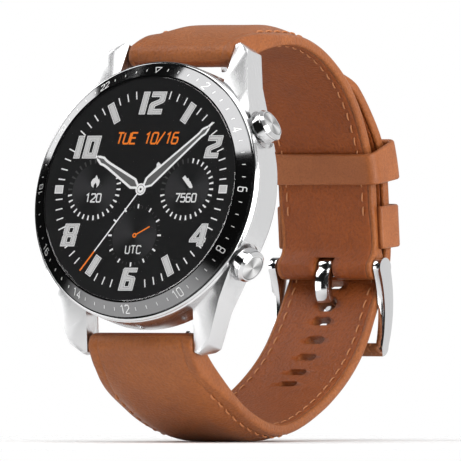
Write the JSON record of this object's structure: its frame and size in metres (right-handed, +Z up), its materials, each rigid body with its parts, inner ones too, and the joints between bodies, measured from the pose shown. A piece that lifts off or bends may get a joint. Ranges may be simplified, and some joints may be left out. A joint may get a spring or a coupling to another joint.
{
  "type": "smartwatch",
  "caption": "Round smartwatch with a steel case, side pushers, a sloping hour ring and a buckled leather strap with keepers, standing with its display leaning back.",
  "frame": {"origin": "centre of the case back's sensor window, on its outer face", "axes": "+X towards 3 o'clock; +Y back from the display side towards the buckle, level; +Z up. The display faces -Y and leans back 13.4 degrees."},
  "size_m": [0.0461, 0.0691, 0.0717],
  "materials": {
    "steel_polished": "mirror-polished stainless steel",
    "steel_brushed": "fine brushed stainless steel",
    "bezel_ceramic": "gloss black ring with engraved light hour marks",
    "cover_glass": "flat polished glass",
    "display": "black display with a lit dial",
    "case_back": "satin black moulded cover",
    "sensor_glass": "dark polished window",
    "black_plastic": "moulded black plastic",
    "rubber_seal": "black silicone",
    "circuit_board": "solder-masked laminate",
    "flex_circuit": "amber polyimide film",
    "shield_tin": "drawn tin-plated can",
    "battery_foil": "aluminium pouch",
    "spring_steel": "drawn spring wire",
    "contact_gold": "gold-plated contact",
    "leather_outer": "smooth-grain tan calf leather, waxed edge",
    "leather_lining": "fine-grain brown lining leather",
    "leather_core": "bonded fibre filler"
  },
  "bodies": {
    "case": {"case_frame": "steel_brushed", "front_trim": "steel_polished", "bezel_ring": "bezel_ceramic", "cover_glass": "cover_glass", "glass_gasket": "rubber_seal", "display_panel": "display", "display_flex": "flex_circuit", "antenna_ring": "black_plastic", "inner_chassis": "black_plastic", "battery": "battery_foil", "main_board": "circuit_board", "board_shields": "shield_tin", "vibration_motor": "shield_tin", "speaker": "black_plastic", "microphone": "black_plastic", "button_flex": "flex_circuit", "upper_tact_switch": "black_plastic", "lower_tact_switch": "black_plastic", "rear_cover": "case_back", "rear_gasket": "rubber_seal", "sensor_window": "sensor_glass", "sensor_board": "circuit_board", "charging_pins": "contact_gold", "rear_screws": "steel_brushed", "upper_strap_leather": "leather_outer", "upper_strap_core": "leather_core", "upper_strap_lining": "leather_lining", "lower_strap_leather": "leather_outer", "lower_strap_core": "leather_core", "lower_strap_lining": "leather_lining", "buckle_bar": "steel_brushed", "fixed_keeper": "leather_outer", "upper_bar_tube": "steel_brushed", "upper_bar_spring": "spring_steel", "upper_bar_fixed_tip": "steel_brushed", "upper_pusher_spring": "spring_steel", "lower_bar_tube": "steel_brushed", "lower_bar_spring": "spring_steel", "lower_bar_fixed_tip": "steel_brushed", "lower_pusher_spring": "spring_steel"},
    "upper_pusher": {"upper_pusher_cap": "steel_polished", "upper_pusher_inlay": "steel_polished", "upper_pusher_stem": "steel_brushed", "upper_pusher_seal": "rubber_seal", "upper_pusher_clip": "spring_steel"},
    "lower_pusher": {"lower_pusher_cap": "steel_polished", "lower_pusher_inlay": "steel_polished", "lower_pusher_stem": "steel_brushed", "lower_pusher_seal": "rubber_seal", "lower_pusher_clip": "spring_steel"},
    "upper_release": {"upper_bar_sprung_tip": "steel_brushed"},
    "lower_release": {"lower_bar_sprung_tip": "steel_brushed"},
    "buckle": {"buckle_frame": "steel_polished"},
    "tang": {"buckle_tang": "steel_polished"},
    "free_keeper": {"free_keeper": "leather_outer"}
  },
  "joints": [
    {"name": "upper_pusher_press", "type": "slide", "parent": "case", "child": "upper_pusher", "axis": [-0.866, -0.1159, -0.4864], "range_m": [0, 0.0006], "stiffness_N_per_m": 900, "springref_m": -0.0004, "deforming": ["upper_pusher_spring"]},
    {"name": "lower_pusher_press", "type": "slide", "parent": "case", "child": "lower_pusher", "axis": [-0.866, 0.1159, 0.4864], "range_m": [0, 0.0006], "stiffness_N_per_m": 900, "springref_m": -0.0004, "deforming": ["lower_pusher_spring"]},
    {"name": "upper_bar_release", "type": "slide", "parent": "case", "child": "upper_release", "axis": [-1, 0, 0], "range_m": [0, 0.0013], "stiffness_N_per_m": 700, "springref_m": -0.0006, "deforming": ["upper_bar_spring"]},
    {"name": "lower_bar_release", "type": "slide", "parent": "case", "child": "lower_release", "axis": [-1, 0, 0], "range_m": [0, 0.0013], "stiffness_N_per_m": 700, "springref_m": -0.0006, "deforming": ["lower_bar_spring"]},
    {"name": "buckle_swing", "type": "hinge", "parent": "case", "child": "buckle", "pos_m": [0, 0.0473, -0.0111], "axis": [1, 0, 0], "range_deg": [0, 3.5]},
    {"name": "tang_lift", "type": "hinge", "parent": "buckle", "child": "tang", "pos_m": [0, 0.0473, -0.0111], "axis": [1, 0, 0], "range_deg": [0, 1.5]},
    {"name": "keeper_slide", "type": "hinge", "parent": "case", "child": "free_keeper", "pos_m": [0, 0.0188, -0.0008], "axis": [1, 0, 0], "range_deg": [-6.5, 16]}
  ]
}
